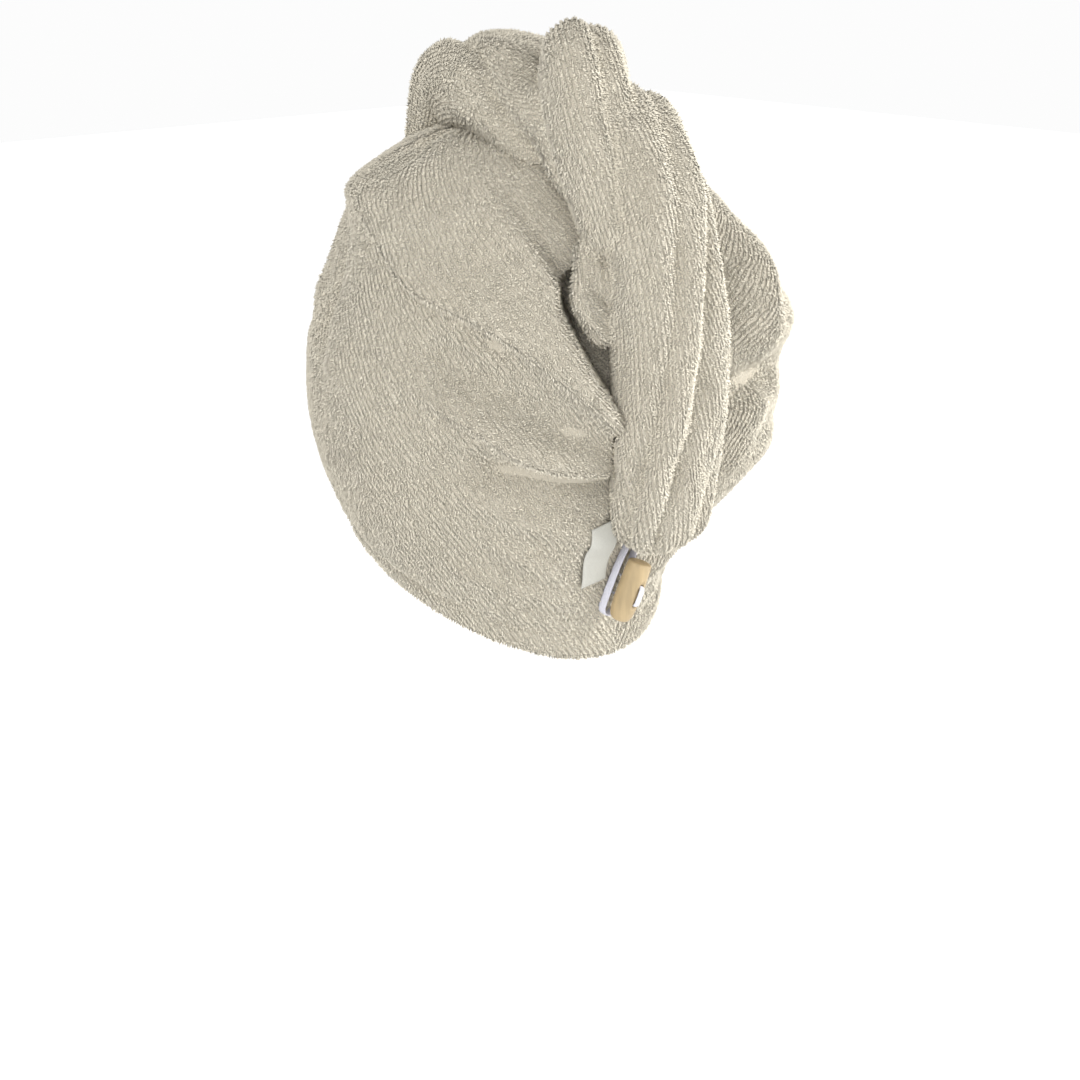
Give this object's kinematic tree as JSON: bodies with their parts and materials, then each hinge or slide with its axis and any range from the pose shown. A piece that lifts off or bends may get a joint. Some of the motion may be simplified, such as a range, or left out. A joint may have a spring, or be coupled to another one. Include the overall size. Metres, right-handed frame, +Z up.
{
  "type": "hair turban towel",
  "caption": "Soft towelling hood in its worn form, its twisted tail laid back over the crown and buttoned at the nape with an elastic loop on a wooden toggle.",
  "frame": {"origin": "centre of the opening that the head goes into", "axes": "+Z up from the opening to the crown, -Y toward the wearer's face, +X toward the wearer's left"},
  "size_m": [0.2366, 0.2421, 0.3117],
  "materials": {
    "towelling": "short soft pile, matt",
    "towelling_tail": "short soft pile, matt",
    "toggle_wood": "satin, light grain",
    "sewing_thread": "twisted thread",
    "elastic": "braided, matt",
    "label_tape": "smooth woven tape, matt"
  },
  "bodies": {
    "root": {"hood": "towelling", "twisted_tail": "towelling_tail", "wooden_toggle": "toggle_wood", "toggle_thread": "sewing_thread", "elastic_loop": "elastic", "side_label": "label_tape"}
  },
  "joints": []
}
